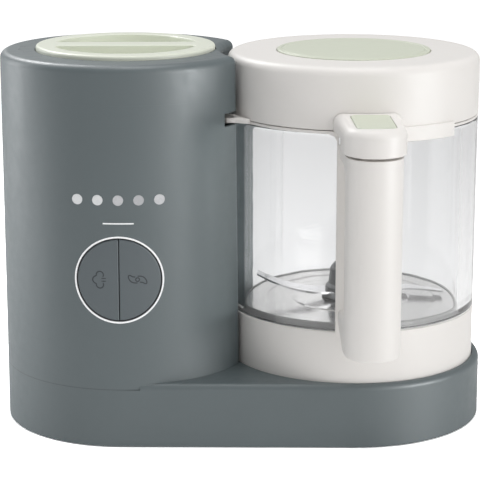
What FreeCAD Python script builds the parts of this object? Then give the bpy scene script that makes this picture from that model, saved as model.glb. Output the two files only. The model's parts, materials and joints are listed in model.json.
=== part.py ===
import FreeCAD, Part
import math, os
from FreeCAD import Vector as V

os.makedirs("parts", exist_ok=True)

# ------------------------------------------------------------------ driving dimensions (mm)
XC, RC = -78.0, 82.5            # column axis and radius
XJ, RBR = 72.7, 87.8            # jar axis and base radius under the jar
Z_WALL = 0.5                    # lower edge of the base wall above the feet
Z_DECK = 42.8                   # deck and rim of the base
Z_FOOT = 38.8                   # the column stands in a shallow recess of the deck
Z_SEAT = 37.0                   # floor of the jar seat
Z_NOZ = 232.5                   # steam nozzle height
LUG_AZ = 90.0                   # bayonet lugs of the tank cap
Z_SPLIT = 224.0                 # seam between column shell and top cover
Z_TOP = 249.0                   # top face of the column
BITE_LOW, BITE_TOP = 84.2, 88.0  # bite radius at the deck and at the top
CORNER_R = 6.0                  # rounding of the bite corners
WALL = 2.6                      # column wall
R_CAP, Z_CAP = 59.1, 252.0      # tank cap
R_LID, Z_LID0, Z_LID1 = 83.3, 207.8, 247.5
R_DISC, Z_DISC = 50.7, 248.4    # lid insert
R_GLASS, R_COLLAR = 83.0, 82.8
Z_COLLAR = 76.7
Z_FLOOR = 80.0
HANDLE_FRONT = 136.0            # front of the grip, from the jar axis
GRIP_HW, HEAD_HW, HEAD_BACK_HW, STRAP_HW = 17.65, 19.6, 21.8, 19.2
HAZ = 2.0                       # handle azimuth, degrees from the front towards +X
CAZ = -2.4                      # control azimuth on the column
Z_CTRL, R_RING = 112.2, 28.5    # control centre height and light ring radius
R_P1, R_P2 = 11.0, 29.0         # belt seats of the two pulleys
YA = 24.487                       # shift that centres the whole object over the origin

PARTS = {}


# ------------------------------------------------------------------ helpers
def wire2(pts, plane="xz"):
    """closed outline from (u, v[, r]) points; r rounds that corner"""
    def v3(u, w):
        return V(u, 0, w) if plane == "xz" else V(u, w, 0)
    n = len(pts)
    segs = []
    ends = []
    for i in range(n):
        p = pts[i]
        r = p[2] if len(p) > 2 else 0.0
        a = pts[i - 1]
        b = pts[(i + 1) % n]
        if r <= 0:
            ends.append((p[:2], p[:2], None))
            continue
        ax, ay = a[0] - p[0], a[1] - p[1]
        bx, by = b[0] - p[0], b[1] - p[1]
        la, lb = math.hypot(ax, ay), math.hypot(bx, by)
        ax, ay, bx, by = ax / la, ay / la, bx / lb, by / lb
        th = math.acos(max(-1, min(1, ax * bx + ay * by)))
        t = r / math.tan(th / 2)
        cx, cy = ax + bx, ay + by
        lc = math.hypot(cx, cy)
        d = r / math.sin(th / 2)
        c = (p[0] + cx / lc * d, p[1] + cy / lc * d)
        m = (c[0] - cx / lc * r, c[1] - cy / lc * r)
        ends.append(((p[0] + ax * t, p[1] + ay * t), (p[0] + bx * t, p[1] + by * t), m))
    for i in range(n):
        s, e, m = ends[i]
        if m is not None:
            segs.append(Part.Arc(v3(*s), v3(*m), v3(*e)).toShape())
        q = ends[(i + 1) % n][0]
        if math.hypot(q[0] - e[0], q[1] - e[1]) > 1e-6:
            segs.append(Part.makeLine(v3(*e), v3(*q)))
    return Part.Wire(segs)


def rev(pts, cx=0.0, cy=0.0):
    s = Part.Face(wire2(pts)).revolve(V(0, 0, 0), V(0, 0, 1), 360)
    s = Part.Solid(s.Shells[0]) if s.ShapeType != "Solid" else s
    s.translate(V(cx, cy, 0))
    return s


def ext(pts, z0, z1):
    s = Part.Face(wire2(pts, "xy")).extrude(V(0, 0, z1 - z0))
    s.translate(V(0, 0, z0))
    return s


def ext_wire(w, z0, z1):
    s = Part.Face(w).extrude(V(0, 0, z1 - z0))
    s.translate(V(0, 0, z0))
    return s


def cyl(cx, cy, z0, z1, r):
    return Part.makeCylinder(r, z1 - z0, V(cx, cy, z0))


def tube(cx, cy, z0, z1, ro, ri):
    return cyl(cx, cy, z0, z1, ro).cut(cyl(cx, cy, z0 - 1, z1 + 1, ri))


def cyl_y(x, z, y0, y1, r):
    return Part.makeCylinder(r, y1 - y0, V(x, y0, z), V(0, 1, 0))


def cyl_x(y, z, x0, x1, r):
    return Part.makeCylinder(r, x1 - x0, V(x0, y, z), V(1, 0, 0))


def box(x0, x1, y0, y1, z0, z1):
    return Part.makeBox(x1 - x0, y1 - y0, z1 - z0, V(x0, y0, z0))


def sector(z0, z1, ri, ro, a0, a1):
    """ring sector about Z; azimuth from the front (-Y) towards +X, degrees"""
    s = Part.makeCylinder(ro, z1 - z0, V(0, 0, z0), V(0, 0, 1), a1 - a0)
    if ri > 0:
        s = s.cut(Part.makeCylinder(ri, z1 - z0 + 2, V(0, 0, z0 - 1)))
    s.rotate(V(0, 0, 0), V(0, 0, 1), -90 + a0)
    return s


def fuse(*ss):
    r = ss[0].multiFuse(list(ss[1:])) if len(ss) > 1 else ss[0]
    return r.removeSplitter()


def cut(s, *tools):
    for t in tools:
        s = s.cut(t)
    return s


def one(s):
    sol = s.Solids
    return sol[0] if len(sol) == 1 else Part.makeCompound(sol)


def at_jar(s, turn=0.0):
    s = s.copy()
    if turn:
        s.rotate(V(0, 0, 0), V(0, 0, 1), turn)
    s.translate(V(XJ, 0, 0))
    return s


def at_col(s, turn=0.0):
    s = s.copy()
    if turn:
        s.rotate(V(0, 0, 0), V(0, 0, 1), turn)
    s.translate(V(XC, 0, 0))
    return s


def rounded(s, pick, r):
    """round the edges that pick() accepts; keep the plain shape if the kernel refuses"""
    es = [e for e in s.Edges if pick(e)]
    for rr in (r, r * 0.8, r * 0.55):
        try:
            f = s.makeFillet(rr, es)
            if f.isValid() and f.Volume > 0.5 * s.Volume:
                return f
        except Exception:
            continue
    return s


def put(name, s):
    PARTS[name] = one(s)


# ------------------------------------------------------------------ plan outlines
D = XJ - XC


def bite_r(z):
    return BITE_LOW + (BITE_TOP - BITE_LOW) * (z - Z_DECK) / (Z_TOP - Z_DECK)


def col_outline(rb, off=0.0, cr=CORNER_R):
    R, Rb, r = RC - off, rb + off, cr - off
    x = ((R - r) ** 2 - (Rb + r) ** 2 + D * D) / (2 * D)
    y = math.sqrt((R - r) ** 2 - x * x)
    fx = XC + x

    def tc(s):
        return V(XC + x / (R - r) * R, s * y / (R - r) * R, 0)

    def tj(s):
        ux, uy = (fx - XJ) / (Rb + r), s * y / (Rb + r)
        return V(XJ + ux * Rb, uy * Rb, 0)

    def tm(s):
        p, q = tc(s), tj(s)
        mx, my = (p.x + q.x) / 2 - fx, (p.y + q.y) / 2 - s * y
        l = math.hypot(mx, my)
        return V(fx + mx / l * r, s * y + my / l * r, 0)
    e = [Part.Arc(tc(-1), V(XC - R, 0, 0), tc(1)).toShape(),
         Part.Arc(tc(1), tm(1), tj(1)).toShape(),
         Part.Arc(tj(1), V(XJ - Rb, 0, 0), tj(-1)).toShape(),
         Part.Arc(tj(-1), tm(-1), tc(-1)).toShape()]
    return Part.Wire(e)


def col_solid(z0, z1, off=0.0):
    w0 = col_outline(bite_r(z0), off)
    w1 = col_outline(bite_r(z1), off)
    w0.translate(V(0, 0, z0))
    w1.translate(V(0, 0, z1))
    return Part.makeLoft([w0, w1], True, True)


def hull2(r1, r2):
    nx = (r1 - r2) / D
    ny = math.sqrt(1 - nx * nx)
    a, b = V(XC + r1 * nx, r1 * ny, 0), V(XJ + r2 * nx, r2 * ny, 0)
    a2, b2 = V(a.x, -a.y, 0), V(b.x, -b.y, 0)
    return Part.Wire([Part.makeLine(a, b), Part.Arc(b, V(XJ + r2, 0, 0), b2).toShape(),
                      Part.makeLine(b2, a2), Part.Arc(a2, V(XC - r1, 0, 0), a).toShape()])


def base_outline(off=0.0):
    return hull2(RC - off, RBR - off)


TILT = math.degrees(math.asin((RBR - RC) / D))


def at_back_wall(s, x=-30.0):
    """local frame: origin on the straight back wall, +Y outwards"""
    nx = (RC - RBR) / D
    ny = math.sqrt(1 - nx * nx)
    ax, ay = XC + RC * nx, RC * ny
    bx, by = XJ + RBR * nx, RBR * ny
    t = (x - ax) / (bx - ax)
    s = s.copy()
    s.rotate(V(0, 0, 0), V(0, 0, 1), TILT)
    s.translate(V(x, ay + t * (by - ay), 0))
    return s


# ------------------------------------------------------------------ base
BOSSES = [(XC - 30, 70), (XC - 30, -70), (0, 70), (0, -70), (XJ + 25, 68), (XJ + 25, -68)]
FEET = [(XC - 38, 50), (XC - 38, -50), (XJ + 42, 52), (XJ + 42, -52)]

outer = ext_wire(base_outline(), Z_WALL, Z_DECK)
outer = rounded(outer, lambda e: abs(e.BoundBox.ZMin - Z_DECK) < 1e-3 and abs(e.BoundBox.ZMax - Z_DECK) < 1e-3, 4.0)
outer = rounded(outer, lambda e: e.BoundBox.ZMax < Z_WALL + 1e-3, 0.9)
foot = col_solid(Z_FOOT, Z_DECK + 4)
outer = outer.cut(foot)
for s in (-1, 1):
    outer = outer.cut(box(XC - 95, XC + 9, min(s * 60, s * 100), max(s * 60, s * 100), Z_FOOT, Z_DECK + 2))
cav_b = ext_wire(base_outline(3.0), 33.9, 36.0).cut(cyl(XJ, 0, 33, 39, 86.6))
col_hole = ext_wire(col_outline(bite_r(Z_DECK), 5.6, 7.0), 30, 45)
housing = cut(outer, ext_wire(base_outline(3.0), -1.0, 34.0), cav_b, col_hole,
              cyl(XJ, 0, Z_SEAT, 45, R_COLLAR + 0.6), cyl(XJ, 0, 30, 45, 11.0))
inside = ext_wire(base_outline(1.5), 4.4, 36.0)
for i, (x, y) in enumerate(BOSSES):
    top = 35.5 if i > 3 else 37.5
    housing = housing.fuse(cyl(x, y, 4.4, top, 4.5).common(ext_wire(base_outline(1.5), 4.3, 40)))
housing = housing.removeSplitter()
for x, y in BOSSES:
    housing = housing.cut(cyl(x, y, 4.0, 19.0, 1.55))
housing = housing.cut(at_back_wall(box(-9, 9, -8, 3, 9, 27)))
put("base_housing", housing)

cover = ext_wire(base_outline(3.4), 1.7, 4.2)
for x, y in BOSSES:
    cover = cut(cover, cyl(x, y, 1, 5, 1.75), cyl(x, y, 1, 2.9, 3.6))
for x, y in FEET:
    cover = cover.cut(cyl(x, y, 1, 5, 3.2))
for i in range(-3, 4):
    h = 30 - abs(i) * 4
    cover = cover.cut(ext([(XC + i * 8 - 1.6, -h, 1.5), (XC + i * 8 + 1.6, -h, 1.5),
                           (XC + i * 8 + 1.6, h, 1.5), (XC + i * 8 - 1.6, h, 1.5)], 1, 5))
put("bottom_cover", cover)

put("rubber_feet", Part.makeCompound([rev([(0, 0), (9, 0, 0.6), (9, 1.65), (3.1, 1.65), (3.1, 6.0, 0.8), (0, 6.0)], x, y) for x, y in FEET]))
put("bottom_screws", Part.makeCompound([cut(rev([(0, 1.8), (3.2, 1.8, 0.4), (3.2, 2.85), (1.5, 2.85), (1.5, 16), (0, 17)], x, y),
                                            box(x - 2, x + 2, y - 0.4, y + 0.4, 1, 2.3), box(x - 0.4, x + 0.4, y - 2, y + 2, 1, 2.3))
                                        for x, y in BOSSES]))
# cord entry in the back wall
plate = box(-8.8, 8.8, -3.0, 0, 9.2, 26.8).cut(cyl_y(0, 18, -10, 10, 3.7))
gl = Part.Face(wire2([(3.7, -9.0), (7.4, -9.0), (7.4, -2.0), (7.6, -2.0), (7.6, 2.4, 0.8), (3.7, 2.4)])).revolve(V(0, 0, 0), V(0, 0, 1), 360)
gl.rotate(V(0, 0, 0), V(1, 0, 0), -90)
gl.translate(V(0, 0, 18))
put("cord_gland", at_back_wall(fuse(plate, gl)))

# ------------------------------------------------------------------ column
shell = col_solid(Z_FOOT + 0.03, Z_SPLIT - 0.02).cut(col_solid(Z_FOOT - 1.0, Z_SPLIT + 1, WALL))
ctl_cut = at_col(cyl_y(0, Z_CTRL, -95, -60, R_RING + 0.12), CAZ)
DOTS = [-26, -13, 0, 13, 26]
Z_DOTS, R_DOT = 164.0, 3.3
Z_LINE, HW_LINE = 149.0, 9.8
dots_cut = [at_col(cyl_y(x, Z_DOTS, -95, -60, R_DOT + 0.1), CAZ) for x in DOTS]
line_cut = at_col(box(-HW_LINE - 0.1, HW_LINE + 0.1, -95, -60, Z_LINE - 0.48, Z_LINE + 0.48), CAZ)
notch = sector(205.0, 213.6, 80, 100.5, -76, -48)
notch.translate(V(XJ, 0, 0))
vents = [at_col(ext([(i * 9 - 1.5, 60, 1.4), (i * 9 + 1.5, 60, 1.4), (i * 9 + 1.5, 95, 1.4), (i * 9 - 1.5, 95, 1.4)], 52, 84)) for i in range(-4, 5)]
shell = cut(shell, ctl_cut, line_cut, notch, *dots_cut)
shell = cut(shell, *vents)
put("column_shell", shell)

tc = ext_wire(col_outline(bite_r(236)), Z_SPLIT, Z_TOP)
tc = rounded(tc, lambda e: abs(e.BoundBox.ZMin - Z_TOP) < 1e-3 and abs(e.BoundBox.ZMax - Z_TOP) < 1e-3, 5.0)
tin = ext_wire(col_outline(bite_r(236), WALL), Z_SPLIT - 1, Z_TOP - 3.0)
tc = cut(tc, tin, cyl(XC, 0, Z_TOP - 8, Z_TOP + 5, R_CAP + 0.7), cyl_x(0, Z_NOZ, XC + 50, XJ, 7.0))
lip = ext_wire(col_outline(bite_r(224), WALL + 0.15), Z_SPLIT - 6, Z_SPLIT + 3).cut(ext_wire(col_outline(bite_r(224), WALL + 1.6), Z_SPLIT - 8, Z_SPLIT + 5))
lip = lip.common(ext_wire(col_outline(bite_r(218), WALL + 0.15), Z_SPLIT - 6, Z_SPLIT + 3))
lip = lip.cut(cyl_x(0, Z_NOZ, XC + 50, XJ, 7.0))
tc = fuse(tc, lip)
put("top_cover", tc)

# controls: local frame on the column axis, front is -Y
sh_out = lambda r: cyl(0, 0, 60, 190, r)
ring = cyl_y(0, Z_CTRL, -95, -73, R_RING).cut(cyl_y(0, Z_CTRL, -96, -72, R_RING - 1.0)).common(sh_out(RC + 0.25))
put("light_ring", at_col(ring, CAZ))
bfr = cyl_y(0, Z_CTRL, -95, -73, 27.45).cut(cyl_y(0, Z_CTRL, -96, -72, 26.85)).common(sh_out(RC - 0.5))
bpl = cyl_y(0, Z_CTRL, -73, -71, 30.0).cut(cyl_y(-12, Z_CTRL, -75, -70, 3.3)).cut(cyl_y(12, Z_CTRL, -75, -70, 3.3))
put("button_frame", at_col(fuse(bfr, bpl), CAZ))
for nm, s in (("steam_button", -1), ("blend_button", 1)):
    b = cyl_y(0, Z_CTRL, -95, -77, 26.5).common(sh_out(RC - 0.05))
    b = b.cut(box(-0.22, 40, -100, -50, 60, 190) if s < 0 else box(-40, 0.22, -100, -50, 60, 190))
    b = rounded(b, lambda e: e.BoundBox.YMax < -76.99 and not (e.BoundBox.YMin > -77.01) and e.Length > 20, 0.7)
    b = fuse(b, cyl_y(12 * s, Z_CTRL, -77.5, -70.7, 3.0))
    put(nm, at_col(b, CAZ))
line = box(-HW_LINE, HW_LINE, -95, -77.5, Z_LINE - 0.40, Z_LINE + 0.40).common(sh_out(RC + 0.08))
put("status_lights", at_col(Part.makeCompound([line] + [cyl_y(x, Z_DOTS, -95, -73, R_DOT).common(sh_out(RC + 0.08)) for x in DOTS]), CAZ))
put("control_board", at_col(box(-31, 31, -66, -64.4, 84, 170), CAZ))
tact = [fuse(box(s * 12 - 4, s * 12 + 4, -68.6, -66, Z_CTRL - 4, Z_CTRL + 4), cyl_y(s * 12, Z_CTRL, -69.0, -68, 1.8)) for s in (-1, 1)]
lamp = [box(x - 2, x + 2, -68, -66, Z_DOTS - 1.5, Z_DOTS + 1.5) for x in DOTS] + [box(x - 2, x + 2, -68, -66, Z_LINE - 1.5, Z_LINE + 1.5) for x in (-5, 5)]
lamp += [box(27.8 * math.cos(a) - 1.6, 27.8 * math.cos(a) + 1.6, -68, -66, Z_CTRL + 26.5 * math.sin(a) - 1.2, Z_CTRL + 26.5 * math.sin(a) + 1.2) for a in [math.radians(30 + 60 * k) for k in range(6)]]
put("control_parts", at_col(Part.makeCompound(tact + lamp), CAZ))

# ------------------------------------------------------------------ tank, heater, cap
tank = rev([(0, 160), (54, 160, 3), (54, 243.5), (58.4, 243.5), (58.4, 246.4), (50.4, 246.4), (50.4, 242.0), (53, 242.0), (53, 161.5, 2), (0, 161.5)], XC)
tank = tank.cut(cyl_x(0, Z_NOZ, XC + 40, XC + 60, 4.0))
for k in range(3):
    tank = tank.cut(at_col(sector(241.5, 247.0, 49.0, 52.4, 120 * k - 12 + LUG_AZ, 120 * k + 12 + LUG_AZ)))
put("water_tank", tank)
put("heater_plate", rev([(0, 152), (52, 152, 1), (52, 159.9), (0, 159.9)], XC))
el = Part.makeTorus(36, 3.6, V(0, 0, 148.2))
el = el.cut(sector(140, 156, 20, 50, 165, 195))
put("heater_element", at_col(el))
put("heat_cutouts", at_col(Part.makeCompound([fuse(cyl(0, 0, 142, 151.8, 9), cyl(0, 0, 150.2, 151.8, 13)), cyl_x(18, 149.6, -9, 9, 2.0)])))
LEGS = [(-65, 75.8), (38, 75.8), (170, 75.8)]


def polar(a, r):
    return r * math.sin(math.radians(a)), -r * math.cos(math.radians(a))


shelf = ext_wire(col_outline(bite_r(Z_DECK) + 2.2, 3.0), 135.5, 138.5).cut(cyl(XC, 0, 130, 145, 40))
shelf = shelf.cut(at_col(box(-34, 34, -90, -62, 130, 145), CAZ))
for a, r in LEGS:
    x, y = polar(a, r)
    shelf = shelf.fuse(cyl(XC + x, y, 44.6, 136, 2.6))
for a in (60, 180, 300):
    x, y = polar(a, 47.0)
    shelf = shelf.fuse(cyl(XC + x, y, 138.0, 151.9, 4.0))
put("tank_shelf", shelf.removeSplitter())
noz = cyl_x(0, Z_NOZ, XC + 50, -13.4, 6.85).cut(cyl_x(0, Z_NOZ, XC + 40, 0, 4.0)).cut(cyl(XC, 0, 200, 250, 54.15))
put("steam_nozzle", noz)

cap = rev([(0, 238.5), (48.3, 238.5, 1.0), (48.3, 246.9), (R_CAP, 246.9), (R_CAP, Z_CAP, 1.8), (0, Z_CAP)])
POCKET_R, BAR_HW, Z_POCKET = 47.0, 8.0, 241.0
for s in (-1, 1):
    yy = math.sqrt(POCKET_R ** 2 - BAR_HW ** 2)
    hb = box(-60, 60, BAR_HW, 60, Z_POCKET, 260) if s > 0 else box(-60, 60, -60, -BAR_HW, Z_POCKET, 260)
    pk = cyl(0, 0, Z_POCKET, 260, POCKET_R).common(hb)
    pk = rounded(pk, lambda e: e.Length < 25 and abs(e.BoundBox.ZMax - e.BoundBox.ZMin) > 10, 2.5)
    pk = rounded(pk, lambda e: e.BoundBox.ZMax < Z_POCKET + 0.01, 2.0)
    cap = cap.cut(pk)
cap = rounded(cap, lambda e: abs(e.BoundBox.ZMin - Z_CAP) < 1e-3 and abs(e.BoundBox.ZMax - Z_CAP) < 1e-3 and e.BoundBox.YLength < 60, 0.9)
for k in range(3):
    cap = cap.fuse(sector(239.3, 241.5, 47.5, 51.8, 120 * k - 9.5 + LUG_AZ, 120 * k + 9.5 + LUG_AZ))
put("tank_cap", at_col(cap.removeSplitter()))
put("cap_seal", tube(XC, 0, 242.4, 246.4, 49.9, 48.65))

# ------------------------------------------------------------------ motor and drive
br = ext_wire(col_outline(bite_r(Z_DECK) + 0.6, 3.0), Z_FOOT, 44.5)
br = br.cut(cyl(XC, 0, 37, 46, 15))
MS = [polar(a, 27.0) for a in (60, 180, 300)]
for x, y in MS:
    br = cut(br, cyl(XC + x, y, 40, 46, 1.75), cyl(XC + x, y, 37, 40.96, 3.3))
put("motor_bracket", br)
ec1 = cyl(0, 0, 44.5, 50, 32).cut(cyl(0, 0, 44, 51, 8.0))
for x, y in MS:
    ec1 = ec1.cut(cyl(x, y, 44, 51, 1.55))
put("motor_can", tube(XC, 0, 50, 110, 32, 29.4))
put("motor_ends", Part.makeCompound([at_col(ec1), tube(XC, 0, 110, 115.5, 32, 8.0)]))
put("stator_core", tube(XC, 0, 58, 102, 29.3, 21.8))
put("plain_bearings", Part.makeCompound([tube(XC, 0, 45.2, 49.6, 7.95, 4.05), tube(XC, 0, 110.6, 115.0, 7.95, 4.05),
                                         tube(XJ, 0, 27.2, 31.4, 8.05, 5.06), tube(XJ, 0, 32.4, 36.8, 8.05, 5.06)]))
put("motor_screws", Part.makeCompound([rev([(0, 38.4), (2.9, 38.4, 0.5), (2.9, 40.95), (1.5, 40.95), (1.5, 48.5), (0, 49.5)], XC + x, y) for x, y in MS]))
rotor = fuse(cyl(0, 0, 8.5, 128, 4.0), cyl(0, 0, 56, 104, 20.8), cyl(0, 0, 104, 109, 10.0))
for k in range(12):
    g = box(-1.1, 1.1, -24, -15.5, 55, 104.001)
    g.rotate(V(0, 0, 0), V(0, 0, 1), 30 * k)
    rotor = rotor.cut(g)
put("motor_rotor", at_col(rotor))
fan = tube(0, 0, 117.5, 126, 8, 4.02)
bl = []
for k in range(9):
    b = box(6.5, 27.5, -0.7, 0.7, 117.8, 125.7)
    b.rotate(V(0, 0, 0), V(1, 0, 0), 0)
    b.rotate(V(0, 0, 0), V(0, 0, 1), 40 * k)
    bl.append(b.cut(cyl(0, 0, 110, 130, 5)))
fan = fuse(fan, tube(0, 0, 117.5, 118.6, 27.5, 7.5), *bl)
put("cooling_fan", at_col(fan))
put("drive_pulley", rev([(4.02, 11), (14, 11, 0.4), (14, 12.4, 0.4), (R_P1, 12.4), (R_P1, 23.6), (14, 23.6, 0.4), (14, 25, 0.4), (4.02, 25)], XC))
drp = rev([(5.02, 11), (10, 11), (10, 15), (24, 15), (24, 11), (32, 11, 0.4), (32, 12.4, 0.4), (R_P2, 12.4), (R_P2, 23.6), (32, 23.6, 0.4), (32, 25, 0.4), (24, 25), (24, 20), (10, 20), (10, 25), (5.02, 25)])
for k in range(6):
    x, y = polar(60 * k, 17)
    drp = drp.cut(cyl(x, y, 10, 26, 4.5))
put("driven_pulley", at_jar(drp))
put("drive_belt", ext_wire(hull2(R_P1 + 2.3, R_P2 + 2.3), 13.4, 22.6).cut(ext_wire(hull2(R_P1 + 0.3, R_P2 + 0.3), 13, 23)))
put("drive_shaft", rev([(0, 8), (5, 8, 0.6), (5, 46.2), (0, 46.2)], XJ))
put("bearing_housing", rev([(8.1, 27), (13, 27, 0.8), (13, 31), (19, 31), (19, 33.9), (10.9, 33.9), (10.9, 36.9), (8.1, 36.9)], XJ))
dc = rev([(5.02, 38.2), (15, 38.2, 0.8), (15, 46), (5.02, 46)])
jc = rev([(4.02, 52.6), (15, 52.6), (15, 59.0, 1.0), (8, 60.2), (4.02, 60.2)])
for k in range(4):
    dc = dc.fuse(sector(45.5, 52.0, 7.0, 15.0, 90 * k - 20, 90 * k + 20))
    jc = jc.fuse(sector(46.4, 53.0, 7.0, 15.0, 90 * k + 25, 90 * k + 65))
put("drive_coupling", at_jar(dc.removeSplitter()))

# ------------------------------------------------------------------ jar
col = rev([(79.8, Z_SEAT + 0.2), (R_COLLAR, Z_SEAT + 0.2, 0.8), (R_COLLAR, Z_COLLAR, 0.6), (72.6, Z_COLLAR), (72.6, 76.4), (10.1, 76.4), (10.1, 72.0), (79.8, 72.0, 4)])
put("jar_collar", at_jar(col))
put("floor_disc", at_jar(rev([(13.2, 76.5), (70.7, 76.5), (70.7, Z_FLOOR, 0.6), (58, Z_FLOOR, 0.5), (56.8, Z_FLOOR - 0.6, 0.5), (40, Z_FLOOR - 0.6, 0.5), (38.8, Z_FLOOR, 0.5), (13.2, Z_FLOOR)])))
put("floor_seal", at_jar(rev([(70.8, 76.5), (72.5, 76.5), (72.5, Z_FLOOR + 0.2), (71.7, Z_FLOOR + 0.9, 0.3), (70.8, Z_FLOOR + 0.5, 0.3)])))
# glass: round inside and outside, five low ribs with rounded tops round the back of the inner wall
RIBS, R_IN, RIB_R, RIB_H = (100.0, 140.0, 180.0, 220.0, 260.0), 72.6, 6.0, 0.9
glass = rev([(0, Z_COLLAR + 0.15), (R_GLASS, Z_COLLAR + 0.15, 1.2), (R_GLASS, 205.5, 0.8), (79.4, 205.5), (79.4, 216.0, 1.2), (0, 216.0)])
cavity = rev([(0, 70), (R_IN, 70), (R_IN, 204.5, 1.5), (76.4, 207.5, 0.8), (76.4, 230), (0, 230)])
for az in RIBS:
    a = math.radians(az)
    rr = R_IN - RIB_H + RIB_R
    rx, ry = rr * math.sin(a), -rr * math.cos(a)
    cavity = cavity.cut(fuse(cyl(rx, ry, 86.0, 185.0, RIB_R), Part.makeSphere(RIB_R, V(rx, ry, 185.0))))
glass = glass.cut(cavity)
put("glass_jar", at_jar(glass))
put("blade_bushing", at_jar(rev([(4.06, 61.0), (10.0, 61.0), (10.0, 76.5), (13.1, 76.5), (13.1, 80.1), (4.06, 80.1)])))
put("blade_shaft", at_jar(rev([(0, 54), (4.0, 54, 0.5), (4.0, 98.5, 0.5), (0, 98.5)])))
put("jar_coupling", at_jar(jc.removeSplitter()))
hubb = (rev([(4.02, 80.5), (19.8, 80.5, 0.6), (19.0, 82.0, 0.5), (17.4, 83.4, 0.3), (4.02, 83.4)]))
hubp = rev([(4.02, 85.2), (17.2, 85.2, 0.5), (16.8, 87.6, 0.8), (15.0, 89.5, 1.0), (13.8, 99.5), (11.0, 103.5, 3.0), (0, 104.2), (0, 98.7), (4.02, 98.7)])
put("blade_hub", at_jar(Part.makeCompound([hubb, hubp])))


def wing(side):
    """one swept wing: up to the left, nearly level to the right"""
    n = 9
    secs = []
    for i in range(n):
        t = i / (n - 1)
        r = 10 + t * 53.5
        sweep = 9 * math.sin(t * math.pi * 0.9) - 3 * t
        w = 8.2 - 4.6 * t ** 1.6
        z = 84.3 + (12.0 * t ** 1.7 if side < 0 else -1.6 * t ** 1.5)
        x = r * side
        y = sweep * side
        h = 0.75 - 0.15 * t
        tilt = (0.10 if side < 0 else -0.08) * t
        p = [V(x, y - w, z - h - tilt * w), V(x, y + w, z - h + tilt * w), V(x, y + w, z + h + tilt * w), V(x, y - w, z + h - tilt * w)]
        secs.append(Part.makePolygon(p + [p[0]]))
    return Part.makeLoft(secs, True, False)


bld = fuse(cyl(0, 0, 83.6, 85.0, 13.0), wing(-1), wing(1)).cut(cyl(0, 0, 70, 100, 4.03))
bld = bld.cut(rev([(0, 85.15), (17.5, 85.15), (17.5, 110), (0, 110)])).cut(rev([(0, 70), (18.5, 70), (18.5, 83.45), (0, 83.45)]))
put("blade", at_jar(bld))

# ------------------------------------------------------------------ lid
lid = rev([(80.8, Z_LID0), (R_LID, Z_LID0, 0.7), (R_LID, Z_LID1, 5.5), (R_DISC + 0.35, Z_LID1, 0.6), (R_DISC + 0.35, 245.4), (0, 245.4), (0, 243.4), (78.6, 243.4, 3.0), (80.8, 240.0)])
lid = lid.cut(cyl_x(0, Z_NOZ, -95, -60, 6.0))
LUG0, LUG1 = 15.4, 43.0
lug = fuse(sector(200.2, 210.0, 83.4, 85.0, LUG0, LUG1), sector(208.3, 210.0, 82.0, 84.0, LUG0, LUG1))
lug = rounded(lug, lambda e: e.BoundBox.ZLength < 0.01 and e.Length > 40 and (e.BoundBox.ZMin < 200.3 or e.BoundBox.ZMin > 209.9) and max(math.hypot(v.X, v.Y) for v in e.Vertexes) > 84.9, 0.6)
lug.rotate(V(0, 0, 0), V(0, 0, 1), HAZ)
put("lid_shell", at_jar(fuse(lid, lug)))
put("lid_insert", at_jar(rev([(0, 245.5), (R_DISC, 245.5), (R_DISC, Z_DISC, 0.9), (47.9, Z_DISC, 0.4), (47.4, Z_DISC - 0.45, 0.15), (46.9, Z_DISC, 0.4), (0, Z_DISC)])))
lin = rev([(0, 219.2), (72.6, 219.2), (72.6, 209.0), (75.6, 209.0, 0.6), (75.6, 219.2), (80.4, 219.2), (80.4, 222.0), (0, 222.0)])
for k in range(6):
    x, y = polar(60 * k + 30, 22)
    lin = lin.cut(cyl(x, y, 215, 225, 2.0))
put("lid_inner", at_jar(lin))
put("lid_gasket", at_jar(rev([(76.0, 216.2), (79.2, 216.2), (79.2, 219.0), (76.0, 219.0)])))

# ------------------------------------------------------------------ handle: jar frame, front is -Y, then turned
def front_round(hw, z0, z1, r0, r1, y0=-100, y1=-60):
    w = wire2([(-hw, z0, r0), (hw, z0, r0), (hw, z1, r1), (-hw, z1, r1)])
    s = Part.Face(w).extrude(V(0, y1 - y0, 0))
    s.translate(V(0, y0, 0))
    return s


slot = sector(199.2, 210.9, 79.0, 87.0, -12.5, 60)
strap = tube(0, 0, 60, 207.3, 86.2, 83.35).common(front_round(STRAP_HW, 71.4, 207.3, 6.5, 2.5))
gus = []
for s in (-1,):
    w = wire2([(s * STRAP_HW + 0.5, 207.3), (s * STRAP_HW + 0.5, 200.2), (s * (STRAP_HW + 1.8), 204.4, 2.6), (s * (STRAP_HW + 7.0), 206.2, 1.5), (s * (STRAP_HW + 7.0), 207.3)])
    f = Part.Face(w).extrude(V(0, 40, 0))
    f.translate(V(0, -100, 0))
    gus.append(tube(0, 0, 190, 207.3, 85.4, 83.35).common(f))
neck = tube(0, 0, 205.7, 207.3, 82.95, 79.7)
neck = neck.fuse(tube(0, 0, 205.7, 207.3, 83.6, 79.7).common(box(-60, 0, -100, -50, 200, 210)))
frame_h = fuse(strap, neck, *gus)
keep = tube(0, 0, 205.7, 207.3, 82.95, 79.7)
frame_h = fuse(frame_h.cut(slot), keep)
put("handle_frame", at_jar(frame_h, HAZ))


def u_plan(hw, y_back, front, z0, z1):
    yc = -(front - hw)
    e = [Part.makeLine(V(-hw, y_back, 0), V(hw, y_back, 0)), Part.makeLine(V(hw, y_back, 0), V(hw, yc, 0)),
         Part.Arc(V(hw, yc, 0), V(0, yc - hw, 0), V(-hw, yc, 0)).toShape(), Part.makeLine(V(-hw, yc, 0), V(-hw, y_back, 0))]
    return ext_wire(Part.Wire(e), z0, z1)


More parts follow.
